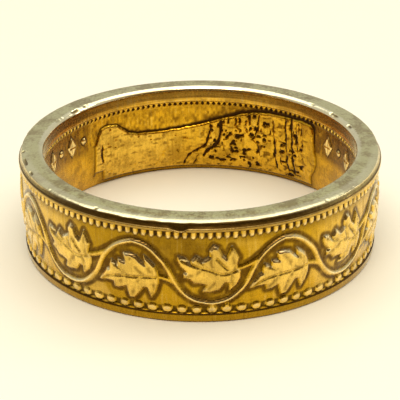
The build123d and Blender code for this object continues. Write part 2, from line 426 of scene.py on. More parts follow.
# Veins: points, width, depth
upper_veins = [
    ([(30.6, 3.16), (28.0, 2.98), (25.6, 2.98), (22.6, 3.22), (19.2, 3.42), (14.8, 3.78)], 0.12, 0.08),
    ([(27.9, 3.22), (26.2, 3.52), (24.6, 3.90)], 0.10, 0.10),
    ([(29.8, 3.12), (29.6, 3.70), (29.1, 4.20)], 0.08, 0.04),
    ([(22.6, 3.22), (20.9, 3.55), (19.2, 3.85)], 0.10, 0.06),
    ([(25.6, 2.98), (24.3, 2.50), (22.5, 2.10)], 0.08, 0.04),
    ([(28.6, 3.02), (29.2, 2.60), (28.9, 2.20)], 0.10, 0.06),
    ([(20.9, 3.32), (18.5, 2.98), (16.2, 2.85)], 0.08, 0.04),
    ([(24.4, 3.06), (23.0, 3.60), (23.2, 4.10)], 0.09, 0.05),
]
lower_veins = [
    ([(8.0, 2.69), (5.0, 2.66), (1.6, 2.56), (-2.0, 2.52), (-6.0, 2.38), (-9.6, 2.02)], 0.12, 0.08),
    ([(4.4, 2.64), (1.9, 3.00), (-0.4, 3.62)], 0.09, 0.05),
    ([(6.2, 2.68), (5.4, 3.10), (4.3, 3.52)], 0.08, 0.04),
    ([(-1.2, 2.54), (-3.4, 2.90), (-5.6, 3.05)], 0.09, 0.06),
    ([(3.0, 2.60), (1.4, 2.10), (0.2, 1.50)], 0.09, 0.06),
    ([(6.4, 2.66), (6.6, 2.20), (6.2, 1.68)], 0.08, 0.05),
    ([(-1.4, 2.52), (-3.3, 2.15), (-4.8, 1.86)], 0.08, 0.04),
]


def leaf_form(x, z, outline, veins):
    """Height of a leaf, the distance outside it, nearness to its veins, its upper edges, and
    how squarely a place lies below it."""
    edges = unrolled(outline)
    depth = distance_inside(x, z, edges)
    tilt = depth - distance_inside(x, z + STEP_UP, edges)
    body = rise(depth, -0.07, 0.09)
    crown = 0.80 + 0.20 * rise(depth, 0.0, 0.40)
    cut = np.zeros(x.shape)
    nearest = np.full(x.shape, np.inf)
    for points, width, deep in veins:
        gap = distance_to_path(x, z, smooth_path(unrolled(points)))
        cut = np.maximum(cut, deep * (1 - rise(gap, 0, width)))
        nearest = np.minimum(nearest, gap)
    veined = body * bell(nearest, 0, 0.13)
    upper_edge = bell(depth, 0.03, 0.06) * rise(tilt, 0.015, 0.035)
    below = rise(-tilt, 0.005, 0.035)
    return body * (LEAF_RELIEF * crown - cut), -depth, veined, upper_edge, below


def plants(angle, z):
    """Vine, leaves and stems: their relief, and what tarnish, painted glints and the painted light below
    them go by.
    """
    wander = VINE_SWAY * np.sin(np.radians(angle - VINE_SWAY_FROM))
    place = np.mod(angle - wander - REPEAT_START, REPEAT)
    x = place * MM_PER_DEGREE + PLANTS_UNEVEN * rough(3, angle, z, 1.1)
    height = z + PLANTS_UNEVEN * rough(4, angle, z, 1.1)
    span = REPEAT * MM_PER_DEGREE

    vine = smooth_path(unrolled(vine_points))
    gap = distance_to_path(x, height, vine)
    gap_above = distance_to_path(x, height + STEP_UP, vine)
    form = ridge(gap, VINE_HALF, VINE_RELIEF)
    outside = gap - VINE_HALF * 0.85
    clear = 1 - bell(np.clip(outside, 0, None), 0, HALO_REACH)
    # Painted highlight along the vine's upper flank, and below along the leaves' upper edges
    gleam = bell(gap, 0.05, 0.05) * rise(gap_above - gap, 0.02, 0.038)
    # Places below the vine, where its dark recess is painted lighter
    painted_light_below = 0.5 * rise(gap - gap_above, 0.005, 0.035)
    stain = np.zeros(x.shape)
    leafy = np.zeros(x.shape)
    for outline, veins, stem in (
        (upper_leaf, upper_veins, upper_stem_points),
        (lower_leaf, lower_veins, lower_stem_points),
    ):
        reach = [point[0] * MM_PER_DEGREE for point in outline + stem]
        for shift in (-span, 0, span):
            near = x - shift
            close = (near > min(reach) - 1) & (near < max(reach) + 1)
            if not close.any():
                continue
            stem_gap = distance_to_path(near[close], height[close], smooth_path(unrolled(stem)))
            leaf, past, veined, edge, below = leaf_form(near[close], height[close], outline, veins)
            leaf = leaf * (1 + 0.10 * rough(5, angle[close], z[close], 0.5))
            form[close] = np.maximum(form[close], ridge(stem_gap, STEM_HALF, STEM_RELIEF))
            form[close] = np.maximum(form[close], leaf)
            past = np.minimum(stem_gap - STEM_HALF * 0.85, past)
            painted_light_below[close] = np.where(past < outside[close], below, painted_light_below[close])
            outside[close] = np.minimum(outside[close], past)
            clear[close] *= 1 - bell(np.clip(past, 0, None), 0, HALO_REACH)
            stain[close] = np.maximum(stain[close], veined)
            leafy[close] = np.maximum(leafy[close], rise(leaf, 0, 0.1))
            gleam[close] = np.maximum(gleam[close], edge)
    return SimpleNamespace(
        form=form, outside=outside, clear=clear, gleam=gleam, painted_light_below=painted_light_below, stain=stain, leafy=leafy
    )


def row_places(angle, count, sway, start):
    """Number of the nearest member of a row that is a little uneven, and millimetres from its middle."""
    place = angle + sway * np.sin(np.radians(angle)) - start
    pitch = 360 / count
    number = np.round(place / pitch).astype(int)
    return number, (place - number * pitch) * MM_PER_DEGREE


def bead_row(angle, z, picker):
    """Relief of the beads, how far out of a bead a place lies (1 at its edge), and how far above
    its middle. Two beads in front have a short spur on top."""
    size, lift, push = picker.uniform(-1, 1, (3, BEADS))
    number, side = row_places(angle, BEADS, 0.87, 3.44)
    own = number % BEADS
    side = side + 0.015 * push[own]
    up = z - BEAD_MIDDLE - 0.012 * lift[own]
    along = np.abs(side) / (BEAD_HALF_LENGTH + 0.02 * size[own])
    across = np.abs(up) / BEAD_HALF_HEIGHT
    out = (along**BEAD_SQUARENESS + across**BEAD_SQUARENESS) ** (1 / BEAD_SQUARENESS)
    spur = ((number == 0) | (number == 1)) * rise(0.12 - np.abs(side), 0, 0.09) * rise(1.18 - z, 0, 0.12)
    spur = SPUR_RELIEF * spur * rise(z, BEAD_MIDDLE, BEAD_MIDDLE + 0.1)
    return np.maximum(BEAD_RELIEF * (1 - rise(out, 0.75, 1.12)), spur), out, up


def denticle_row(angle, z, picker):
    """Millimetres that a place lies inside a denticle, negative outside."""
    length, width, push = picker.uniform(-1, 1, (3, DENTICLES))
    number, side = row_places(angle, DENTICLES, 1.55, 0.46)
    own = number % DENTICLES
    side = np.abs(side + 0.010 * push[own])
    low = z - DENTICLE_TIP - 0.025 * length[own]
    half = DENTICLE_HALF + 0.035 * rise(z, DENTICLE_TIP, DENTICLE_TIP + 0.25) + 0.008 * width[own]
    past_side = np.clip(side - half + DENTICLE_CORNER, 0, None)
    past_tip = np.clip(DENTICLE_CORNER - low, 0, None)
    return DENTICLE_CORNER - np.hypot(past_side, past_tip)


def outer_relief(skin):
    """Raise vine, leaves, beads and denticles on the outer wall, and paint it."""
    ground = (skin.radius > WALL_SIDE) & (skin.height > FOOT_TOP + 0.01)
    angle, z = skin.angle[ground], skin.height[ground]
    picker = np.random.default_rng(7)
    wall = plants(angle, z)
    bead_form, wall.bead, wall.up = bead_row(angle, z, picker)
    wall.tooth = denticle_row(angle, z, picker)
    wall.tooth_form = DENTICLE_RELIEF * rise(wall.tooth, -0.04, 0.06)
    wall.form = np.maximum(wall.form, np.maximum(bead_form, wall.tooth_form))
    past_bead = (wall.bead - 1) * (0.25 + 0.45 * rise(wall.up, 0.0, 0.2))
    wall.outside = np.minimum(wall.outside, np.minimum(past_bead, -wall.tooth))

    flow = 0.010 * grain(11, angle, z, 0.16, 1.4) * rise(z, 0.8, 1.6)
    lumps = 0.008 * rough(12, angle, z, 0.7)
    skin.radius[ground] = barrel(z) + wall.form + (flow + lumps) * (1 - 0.4 * wall.leafy)
    paint_outer(skin, ground, wall)


def paint_outer(skin, ground, wall):
    """Bright crests, dark recesses, a soft halo of tarnish, painted shade on the front and under the lip,
    painted light below the relief and above the beads, paler sides as a painted reflection, and painted
    glints for the outer wall.
    """
    angle, z = skin.angle[ground], skin.height[ground]
    raised = np.clip(wall.form / DENTICLE_RELIEF, 0, 1)

    recess = np.exp(-np.clip(wall.outside, 0, None) / RECESS_REACH) * (1 - rise(raised, 0.0, 0.4))
    # Painted light: the dark recess is lightened where the ground lies below the vine, stems and leaves
    recess = recess * (1 - 0.45 * wall.painted_light_below)
    # Painted light: the dark recess is lightened on the beads' upper halves and just above them
    recess = recess * (1 - 0.75 * rise(wall.up, 0.05, 0.18) * (wall.bead < 1.5))
    between_teeth = rise(z, 4.92, 5.10) * (1 - rise(wall.tooth, -0.05, 0.03))
    between_beads = rise(0.27 - np.abs(wall.up), 0.0, 0.12) * rise(wall.bead, 0.90, 1.05)
    recess = np.maximum(recess, np.maximum(TEETH_DARK * between_teeth, BEADS_DARK * between_beads))
    # Painted shadow in a line just under the lip
    recess = np.maximum(recess, UNDER_LIP_SHADOW * rise(z, 5.31, 5.38))

    near_beads = np.exp(-np.clip(wall.bead - 1, 0, None) / 0.5)
    near_rows = np.maximum(NEAR_BEADS_DARK * near_beads, NEAR_TEETH_DARK * rise(z, 4.30, 5.0))
    # Painted shade: the ground is darkened round the front, on top of random tarnish patches
    front = FRONT_PAINTED_SHADE * bell(angle, FRONT_MIDDLE, FRONT_REACH) * (0.35 + 0.65 * rise(z, 1.5, 3.8))
    front_shade_and_tarnish = front + 0.22 * rise(rough(14, angle, z, 1.3), 0.05, 0.5)
    halo = np.maximum(rise(1 - wall.clear, 0.04, 0.55), near_rows)
    halo = np.maximum(halo, front_shade_and_tarnish) * (1 - rise(raised, 0.0, 0.45))

    # Painted reflection: the ground and relief are paler towards the sides, and the relief less bright in
    # front
    painted_side_reflection = rise(np.abs(angle), 14, 48)
    cloud = rise(rough(13, angle, z, 2.0), 0.05, 0.55)
    pale = np.clip(0.62 * painted_side_reflection + 0.52 * cloud * (1 - recess), 0, 0.66)
    # Painted highlights on the denticles' lower tips and the beads' upper halves
    tips = (1 - rise(z, 5.08, 5.22)) * wall.tooth_form / DENTICLE_RELIEF
    crowns = rise(0.75 - wall.bead, 0.0, 0.4) * rise(wall.up, -0.10, 0.10)

    ledge = rise(skin.height, FOOT_TOP - 0.10, FOOT_TOP) * (skin.radius > WALL_SIDE + 0.1)
    whole_halo = 0.45 + 0.55 * ledge
    whole_halo[ground] = halo
    whole_recess = 0.8 * ledge
    whole_recess[ground] = recess
    skin.paint("raised", np.maximum(raised * (0.70 + 0.30 * painted_side_reflection), pale), ground, 0.1)
    skin.paint("recess", whole_recess)
    skin.paint("halo", whole_halo)
    skin.paint("stain", 0.70 * wall.stain, ground)
    skin.paint("gleam", np.maximum(wall.gleam, 0.5 * np.maximum(tips, crowns)), ground)


# Inner wall. Its places are degrees from the middle of the back, positive towards +X.

# Edge of the drape: place, height
drape_edge = [
    (-46.4, 0.9),
    (-46.3, 2.0),
    (-46.2, 3.0),
    (-44.7, 3.67),
    (-43.1, 4.03),
    (-40.0, 4.12),
    (-35.5, 3.98),
    (-32.5, 3.60),
    (-30.0, 3.27),
    (-26.0, 3.08),
    (-17.7, 3.00),
    (-9.3, 3.08),
    (0.0, 3.33),
    (8.3, 3.75),
    (14.0, 4.00),
    (18.0, 4.25),
    (22.5, 4.38),
    (29.0, 4.50),
    (37.4, 4.55),
    (44.7, 4.58),
    (49.0, 4.56),
    (50.4, 4.40),
    (51.2, 3.67),
    (52.2, 2.83),
    (52.8, 2.00),
    (51.4, 1.50),
    (49.3, 1.00),
    (48.6, 0.30),
    (-41.0, 0.30),
    (-42.0, 1.05),
    (-46.4, 1.15),
]
# Folds: points, width, depth
drape_folds = [
    ([(31.0, 4.1), (31.6, 2.6), (32.6, 0.8)], 0.15, 0.09),
    ([(36.6, 4.5), (37.2, 2.8), (38.0, 0.9)], 0.13, 0.09),
    ([(39.6, 4.5), (40.2, 3.0), (40.6, 0.8)], 0.17, 0.10),
    ([(42.2, 4.4), (42.6, 3.2), (43.4, 2.3)], 0.12, 0.08),
    ([(34.4, 2.2), (34.8, 1.4), (35.4, 0.8)], 0.11, 0.07),
    ([(24.5, 4.2), (24.0, 3.4), (22.5, 2.6)], 0.16, 0.08),
    ([(22.5, 2.6), (24.6, 2.0), (25.4, 1.4)], 0.13, 0.07),
    ([(19.6, 4.0), (19.2, 3.4), (20.4, 3.0)], 0.13, 0.07),
    ([(14.6, 3.9), (15.4, 3.3), (17.2, 3.1)], 0.17, 0.09),
    ([(8.6, 3.6), (8.4, 3.0), (7.4, 2.2), (4.2, 1.6), (1.4, 1.1)], 0.20, 0.10),
    ([(4.4, 3.3), (3.4, 2.6), (2.4, 2.0), (-1.2, 1.6), (-5.0, 1.1), (-6.4, 0.6)], 0.20, 0.10),
    ([(12.6, 2.8), (11.2, 2.5)], 0.22, 0.09),
    ([(9.0, 2.1), (10.2, 1.5), (12.6, 1.0)], 0.12, 0.06),
    ([(-0.5, 1.2), (-1.6, 0.7), (-2.4, 0.3)], 0.12, 0.06),
    ([(13.2, 1.9), (14.8, 1.2)], 0.13, 0.07),
    ([(17.6, 2.2), (18.4, 1.2)], 0.10, 0.05),
    ([(-42.6, 2.9), (-43.0, 2.3), (-42.4, 1.8)], 0.15, 0.08),
    ([(-18.0, 0.7), (-13.0, 1.9)], 0.07, 0.035),
    ([(-9.2, 1.7), (-8.6, 1.5)], 0.13, 0.06),
    ([(-7.0, 2.5), (-5.2, 2.4)], 0.11, 0.04),
]
DRAPE_RELIEF = 0.115
DRAPE_DEEPEST = 0.10
ORNAMENT_RELIEF = 0.10
ORNAMENT_MIDDLE = 3.70
ORNAMENT_PITCH = 7.5
LOZENGE_HALF_WIDTH = 0.45
LOZENGE_HALF_HEIGHT = 0.72
DOT_RADIUS = 0.24

# Ornaments stand only beyond these places on either side of the drape
ORNAMENTS_BEFORE = -50
ORNAMENTS_AFTER = 56

# The row's gaps are cut as lozenges, and its denticles are what stands between them
INNER_DENTICLES = 162
INNER_DENTICLE_RELIEF = 0.10
INNER_GAP_MIDDLE = 4.83
INNER_GAP_HALF_WIDTH = 0.125
INNER_GAP_HALF_HEIGHT = 0.17


def back_place(angle):
    """Degrees from the middle of the back, positive towards +X."""
    return np.mod(180 - angle + 180, 360) - 180


def ornament_form(place, z):
    """A lozenge of four petals at each even place and a dot at each odd one, negative outside them."""
    number = np.round(place / ORNAMENT_PITCH)
    side = np.abs(place - number * ORNAMENT_PITCH) * INNER_MM_PER_DEGREE
    up = np.abs(z - ORNAMENT_MIDDLE)
    lozenge = 1 - (side / LOZENGE_HALF_WIDTH + up / LOZENGE_HALF_HEIGHT)
    slit = rise(np.minimum(side, up), 0.0, 0.05)
    petals = rise(lozenge, 0.0, 0.14) * (0.35 + 0.65 * slit)
    petals = np.where(lozenge > 0, petals, np.clip(lozenge * 2, -1, 0))
    round_dot = (DOT_RADIUS - np.hypot(side, up)) / DOT_RADIUS
    dot = np.where(round_dot > 0, rise(round_dot, 0.0, 0.6), np.clip(round_dot, -1, 0))
    return np.where(np.mod(number, 2) == 0, petals, dot)


def drape_form(angle, z, place):
    """The cloth's share, the distance inside its edge, its folds and pits, and how worn it is."""
    x = place * INNER_MM_PER_DEGREE
    uneven_x = x + 0.10 * rough(21, angle, z, 0.5)
    uneven_z = z + 0.10 * rough(22, angle, z, 0.5)
    ragged = 0.45 + 0.35 * (1 + rough(28, angle, z, 0.30))
    outline = unrolled(drape_edge, INNER_MM_PER_DEGREE)
    depth = distance_inside(x + 0.3 * (uneven_x - x), z + 0.3 * (uneven_z - z), outline)
    cut = np.zeros(x.shape)
    for points, width, deep in drape_folds:
        path = smooth_path(unrolled(points, INNER_MM_PER_DEGREE), 5)
        gap = distance_to_path(uneven_x, uneven_z, path) + 0.07 * rough(23, angle, z, 0.30)
        cut = np.maximum(cut, deep * (1 - rise(gap, 0.0, width * ragged)))

    plain = rise(place, 27, 31) * (1 - rise(place, 33, 36))
    worn = rise(place, -2, 6) * (1 - rise(place, 43, 48)) * (1 - 0.6 * plain) * rise(depth, 0.0, 0.15)
    flat = 0.55 * grain(24, angle, z, 0.32, 0.13) + 0.5 * rough(29, angle, z, 0.24)
    upright = 0.55 * grain(37, angle, z, 0.15, 0.42) + 0.5 * rough(38, angle, z, 0.30)
    flecks = np.where(z > 2.9 - 0.5 * rough(39, angle, z, 1.5), upright, flat)
    pits = rise(flecks + 0.30 * worn, 0.48, 0.66)
    cut = np.maximum(cut, (0.04 + 0.045 * worn) * pits)
    return rise(depth, -0.05, 0.06), depth, cut, worn


def inner_relief(skin):
    """Raise drapery, ornaments and denticles on the inner wall, towards the finger, and paint it."""
    ground = skin.radius < flare(skin.height) + 0.03
    angle, z = skin.angle[ground], skin.height[ground]
    place = back_place(angle)
    cloth, depth, cut, worn = drape_form(angle, z, place)
    free = (place < ORNAMENTS_BEFORE) | (place > ORNAMENTS_AFTER)
    ornament = ornament_form(place, z)
    draped = cloth * (DRAPE_RELIEF - np.clip(cut, 0, DRAPE_DEEPEST))
    form = np.where(free, ORNAMENT_RELIEF * ornament, draped)

    pitch = 360 / INNER_DENTICLES
    gap_side = np.abs(np.mod(angle, pitch) - pitch / 2) * INNER_MM_PER_DEGREE
    gap_up = np.abs(z - INNER_GAP_MIDDLE - 0.04 * gap_side)
    mark = 1 - gap_side / INNER_GAP_HALF_WIDTH - gap_up / INNER_GAP_HALF_HEIGHT
    teeth = rise(z, 4.66, 4.80) * (1 - rise(mark, -0.15, 0.20))
    form = np.maximum(form, INNER_DENTICLE_RELIEF * teeth)

    flow = 0.008 * grain(25, angle, z, 0.14, 1.6) * (1 - cloth) * rise(z, 2.6, 3.4)
    lumps = 0.006 * rough(26, angle, z, 0.6)
    skin.radius[ground] = np.maximum(flare(z) - form + flow + lumps, BORE + 0.005)

    wall = SimpleNamespace(
        place=place, cloth=cloth, depth=depth, cut=cut, worn=worn,
        free=free, ornament=ornament, mark=mark, form=form,
    )
    paint_inner(skin, ground, wall)


def paint_inner(skin, ground, wall):
    """Bright cloth and ornaments, dark folds and edges, sandy tarnish, painted dark reflection on the upper
    wall, a painted contact shadow along the bottom edge and painted glints on the ornaments for the inner
    wall.
    """
    angle, z, place = skin.angle[ground], skin.height[ground], wall.place
    past = np.clip(-wall.depth, 0, None)
    bare = 1 - wall.cloth

    above = bare * (place > -44) * (place < 52) * (z > 2.9)
    band = 0.12 + 0.10 * rise(place, -36, -24) + 0.12 * rise(place, -15, 18)
    edge = np.maximum(np.exp(-past / 0.08), above * bell(past, 0, band))
    edge = edge * (1 - rise(wall.depth, -0.05, 0.01))
    rim_of_ornament = rise(wall.ornament, -0.5, -0.05) * (1 - rise(wall.ornament, -0.05, 0.25))
    recess = np.maximum(edge, wall.cloth * rise(wall.cut, 0.025, 0.075))
    recess = np.maximum(recess, rise(wall.mark, -0.10, 0.20))
    # Painted contact shadow along the bottom edge
    recess = np.maximum(recess, rise(0.04 - z, 0.0, 0.03))
    recess = np.maximum(recess, 0.9 * wall.free * rim_of_ornament)

    # Painted dark reflection: the upper bare inner wall is darkened, more towards +X and among the ornaments
    painted_dark_reflection = 0.30 + 0.65 * rise(place, -8, 25) * (1 - rise(place, 60, 100)) + 0.50 * wall.free
    painted_dark_reflection = np.clip(painted_dark_reflection, 0, 1) * bare * rise(z, 2.3, 3.1) * rise(4.85 - z, 0, 0.1)
    halo = np.maximum(np.exp(-past / 0.25) * bare, painted_dark_reflection)
    halo = halo * (1 - wall.free * rise(wall.ornament, 0.0, 0.2))
    sandy = bare * (1 - 0.6 * wall.free) * rise(z, 2.6, 3.2) * rise(4.70 - z, 0, 0.2)
    specks = 0.55 * grain(42, angle, z, 0.15, 0.20) + 0.30 * grain(43, angle, z, 0.6, 0.35)
    halo = np.clip(halo + sandy * (specks + 0.15 * np.exp(-past / 0.5)), 0, 1)

    cloth_pale = 0.47 + 0.17 * (1 - rise(place, -25, 0))
    cloth_pale = cloth_pale * np.clip(wall.form / 0.11, 0, 1)
    raised = np.where(wall.free, np.clip(wall.form / 0.08, 0, 1), cloth_pale)
    wrinkles = rise(grain(27, angle, z, 0.40, 0.14) + 0.7 * rough(40, angle, z, 0.25), 0.05, 0.50)
    skin.paint("raised", raised, ground)
    skin.paint("recess", recess, ground)
    skin.paint("halo", halo, ground)
    skin.paint("stain", wall.cloth * (0.80 + 0.20 * wall.worn) * wrinkles, ground)
    # Painted highlights on the ornaments' raised parts
    skin.paint("gleam", 0.45 * wall.free * rise(wall.ornament, 0.05, 0.3), ground)


# Rim

# Nicks: degrees, radius, length in degrees, depth
rim_nicks = [
    (-32.6, 10.20, 0.8, 0.05),
    (-52.0, 10.25, 0.6, 0.02),
    (-66.0, 10.22, 2.2, 0.05),
    (-75.0, 10.20, 3.4, 0.07),
    (-83.0, 10.22, 1.6, 0.05),
    (-101.0, 10.05, 2.2, 0.07),
    (41.0, 10.25, 0.6, 0.02),
    (96.0, 10.20, 1.2, 0.03),
    (-124.0, 9.20, 3.4, 0.07),
    (-129.5, 9.22, 2.0, 0.05),
    (-112.0, 9.24, 4.0, 0.03),
    (117.0, 9.22, 3.4, 0.05),
    (105.0, 9.24, 2.6, 0.05),
    (131.0, 9.24, 2.0, 0.03),
    (150.0, 9.24, 5.0, 0.02),
]
NICK_HALF_WIDTH = 0.13

# Nicks within this radius are in the inner edge, and the others in the outer one
RIM_MIDDLE = 9.7

DENT_PLACE = -5.6
DENT_DEPTH = 0.15
RIM_WAVES = 0.012
FRONT_TILT = 0.035

# How far the rounds are squared: the outer one, what it loses in front, and the inner one in front
OUTER_SQUARE = 0.80
OUTER_SQUARE_LOST = 0.60
INNER_SQUARE = 0.65


def rim_wear(skin):
    """Square and tilt the rim's corners a little, dent and nick it, and paint it."""
    angle, z = skin.angle, skin.height
    front = rise(np.cos(np.radians(angle)), -0.2, 0.5)
    inside = rise(9.14 - skin.radius, 0.0, 0.05)
    outside = skin.radius > RIM_SIDE
    on_outer_round = (skin.radius > ROUND_TOP) & (z > ROUND_FOOT - 0.001)
    on_inner_round = (skin.radius < BORE + INNER_ROUND) & (z > HEIGHT - INNER_ROUND - 0.001)

    square = on_outer_round * (OUTER_SQUARE - OUTER_SQUARE_LOST * front)
    square = square + on_inner_round * INNER_SQUARE * front
    corner = np.where(on_outer_round, RIM_OUTSIDE, BORE)
    sink = rise(z, HEIGHT - 0.25, HEIGHT) * RIM_WAVES * (1 + rough(31, angle, z, 2.5))
    tilt = FRONT_TILT * front * rise(skin.radius, 9.45, 9.95) * rise(z, ROUND_FOOT, ROUND_FOOT + 0.08)
    dent = rise(angle, DENT_PLACE - 4.2, DENT_PLACE) * (1 - rise(angle, DENT_PLACE + 0.2, DENT_PLACE + 2.6))
    near_lip = rise(z, LIP_FOOT, LIP_TOP - 0.02) * (1 - rise(z, LIP_TOP + 0.02, ROUND_FOOT))
    skin.height = z + square * (HEIGHT - z) - sink - tilt - outside * DENT_DEPTH * dent * near_lip
    skin.radius += square * (corner - skin.radius)
    uneven = 0.012 * grain(33, angle, z, 0.6, 0.5) + 0.008 * grain(34, angle, z, 0.2, 0.3)
    skin.radius += outside * (uneven - 0.012) * rise(z, LIP_TOP + 0.02, LIP_TOP + 0.1)

    sum_of_bites = np.zeros(z.shape)
    for place, radius, length, deep in rim_nicks:
        turn = np.abs(np.mod(angle - place + 180, 360) - 180) / length
        turn = turn + 0.4 * grain(35, angle, z, 0.25, 0.2)
        reach = np.abs(skin.radius - radius) / NICK_HALF_WIDTH
        bite = deep * (1 - rise(np.hypot(turn, reach), 0.3, 1.0)) * rise(z, HEIGHT - 0.3, HEIGHT - 0.1)
        skin.radius += np.sign(RIM_MIDDLE - radius) * bite
        skin.height -= 0.7 * bite
        sum_of_bites += bite

    rim = SimpleNamespace(
        z=z, front=front, inside=inside, outside=outside, bitten=np.clip(sum_of_bites / 0.05, 0, 1),
        on_outer_round=on_outer_round, on_inner_round=on_inner_round,
    )
    paint_rim(skin, rim)


def paint_rim(skin, rim):
    """Pale worn top; a brown band on the inner rim, and a dark outer slope and lip in front, painted as dark
    reflections; painted shadow under the lip; and painted glints.
    """
    angle, z, inside, outside, bitten = skin.angle, rim.z, rim.inside, rim.outside, rim.bitten
    facing = rise(np.cos(np.radians(angle + 6)), 0.35, 0.95)
    crease = bell(z, LIP_TOP + 0.01, 0.03) * (1 - inside)
    pale = (1 - inside) * (0.72 - 0.20 * (z < LIP_TOP - 0.02) + 0.28 * rise(z, ROUND_FOOT, HEIGHT))

    # Painted dark reflection: a brown band round the inner rim, below its rounding
    band_foot = 5.18 + 0.04 * grain(36, angle, z, 1.6, 9.0)
    above_foot = inside * rise(z, band_foot, band_foot + 0.07)
    brown = above_foot * (1 - rise(z, 5.74, 5.84)) * (0.82 + 0.18 * grain(41, angle, z, 1.2, 0.12))
    band = above_foot * (1 - rise(z, 5.72, 5.80))

    # Painted dark reflection: the outer slope is brown all round and darker in front, the lip brown in
    # front, and shade darkens the front of the slope below the glare
    slope = outside * rise(z, LIP_TOP - 0.01, LIP_TOP + 0.03) * (1 - rise(z, ROUND_FOOT, ROUND_FOOT + 0.08))
    lip = outside * (z < LIP_TOP - 0.01)
    brown = np.maximum(brown, (0.45 + 0.50 * facing) * slope)
    brown = np.maximum(brown, 0.80 * facing * lip)
    shade_top = ROUND_FOOT + 0.08 + 0.02 * grain(44, angle, z, 0.5, 9.0)
    shade = facing * (skin.radius > 10.0) * rise(z, LIP_TOP, LIP_TOP + 0.04)
    shade = shade * (1 - rise(z, shade_top, shade_top + 0.04))
    # Painted shadow on the lip's underside
    under_lip = (skin.radius > 10.3) & (z < LIP_FOOT + 0.01)
    dark = under_lip + 0.75 * crease + 0.6 * bitten + 0.42 * band + 0.85 * shade
    # Painted highlights along the inner round away from the front and on the outer round in front, cleared
    # where nicked or painted dark
    gleam = np.maximum(
        rim.on_inner_round * (1 - rim.front) * (z > HEIGHT - 0.25), 0.6 * rim.on_outer_round * rim.front
    )
    skin.paint("raised", np.clip(pale, 0, 1))
    skin.paint("recess", np.clip(dark, 0, 1))
    skin.paint("halo", np.clip(brown + crease + 0.6 * bitten, 0, 1))
    skin.paint("stain", 0.0)
    skin.paint("gleam", gleam * (1 - bitten) * (1 - shade))


# Materials

# Colour of the painted highlights, which the gleam attribute mixes in; gleam also makes those places
# smoother
GLINT = (1.0, 0.92, 0.62, 1)

# What all three bronzes share
coat_and_sheen = {
    "Metallic": 1.0,
    "Coat Weight": 0.06,
    "Coat Roughness": 0.15,
    "Sheen Weight": 0.60,
    "Sheen Roughness": 0.30,
    "Sheen Tint": (1.0, 0.94, 0.60, 1),
}

# For each finish: colours of the ground, of what stands proud and of thin and thick tarnish, which also
# carry the painted shade, then the share of blotches, of scratches along and up the wall, the roughness and
# the bump
finishes = {
    "outer bronze": dict(
        ground=(0.65, 0.38, 0.012, 1), proud=(0.97, 0.66, 0.15, 1),
        thin=(0.085, 0.036, 0.001, 1), thick=(0.045, 0.019, 0.001, 1),
        blotches=0.3, along=0.25, across=0.65, dull=0.25, bump=0.40,
    ),
    "rim bronze": dict(
        ground=(0.84, 0.50, 0.05, 1), proud=(0.69, 0.64, 0.31, 1),
        thin=(0.24, 0.13, 0.02, 1), thick=(0.08, 0.042, 0.006, 1),
        blotches=0.6, along=0.6, across=0.8, dull=0.15, bump=0.40,
    ),
    "lining bronze": dict(
        ground=(0.78, 0.44, 0.016, 1), proud=(0.99, 0.69, 0.13, 1),
        thin=(0.16, 0.07, 0.002, 1), thick=(0.045, 0.018, 0.001, 1),
        blotches=0.5, along=0.20, across=0.70, dull=0.22, bump=0.45,
    ),
}


class Nodes:
    """Short way to place and join shader nodes in a material or a group."""

    def __init__(self, tree):
        self.tree = tree

    def add(self, kind, inputs=(), **settings):
        """Place a node with these settings, and link or set its inputs."""
        made = self.tree.nodes.new(kind)
        for name, value in settings.items():
            setattr(made, name, value)
        for name, value in dict(inputs).items():
            self.give(made, name, value)
        return made

    def give(self, made, name, value):
        """Link a socket to a node's output, or set it to a plain value."""
        socket = made.inputs[name]
        if isinstance(value, bpy.types.NodeSocket):
            self.tree.links.new(value, socket)
        else:
            socket.default_value = value

    def math(self, operation, first, second=0.0):
        made = self.add("ShaderNodeMath", {0: first, 1: second}, operation=operation)
        return made.outputs[0]

    def mix(self, share, first, second):
        made = self.add("ShaderNodeMix", {0: share, 6: first, 7: second}, data_type="RGBA")
        return made.outputs[2]

    def spread(self, value, low, high, bottom=0.0, top=1.0):
        """Smooth step from bottom at low to top at high."""
        made = self.add(
            "ShaderNodeMapRange",
            {"Value": value, "From Min": low, "From Max": high, "To Min": bottom, "To Max": top},
            interpolation_type="SMOOTHSTEP",
        )
        return made.outputs[0]

    def noise(self, place, scale, stretch=(1, 1, 1), detail=3.0, roughness=0.55):
        """Noise whose pattern is squeezed along each axis, per millimetre."""
        scaled = self.add(
            "ShaderNodeVectorMath",
            {0: place, 1: tuple(s * scale / MM for s in stretch)},
            operation="MULTIPLY",
        )
        made = self.add(
            "ShaderNodeTexNoise",
            {"Vector": scaled.outputs[0], "Scale": 1.0, "Detail": detail, "Roughness": roughness},
        )
        return made.outputs["Fac"]

    def attribute(self, name):
        return self.add("ShaderNodeAttribute", attribute_name=name, attribute_type="GEOMETRY").outputs["Fac"]


def group(name, inputs, outputs):
    """An empty node group with named sockets, its nodes, and its two end nodes."""
    tree = bpy.data.node_groups.new(name, "ShaderNodeTree")
    for label, kind, value in inputs:
        socket = tree.interface.new_socket(name=label, in_out="INPUT", socket_type=kind)
        if value is not None:
            socket.default_value = value
    for label in outputs:
        tree.interface.new_socket(name=label, in_out="OUTPUT", socket_type="NodeSocketFloat")
    nodes = Nodes(tree)
    return tree, nodes, nodes.add("NodeGroupInput").outputs, nodes.add("NodeGroupOutput")


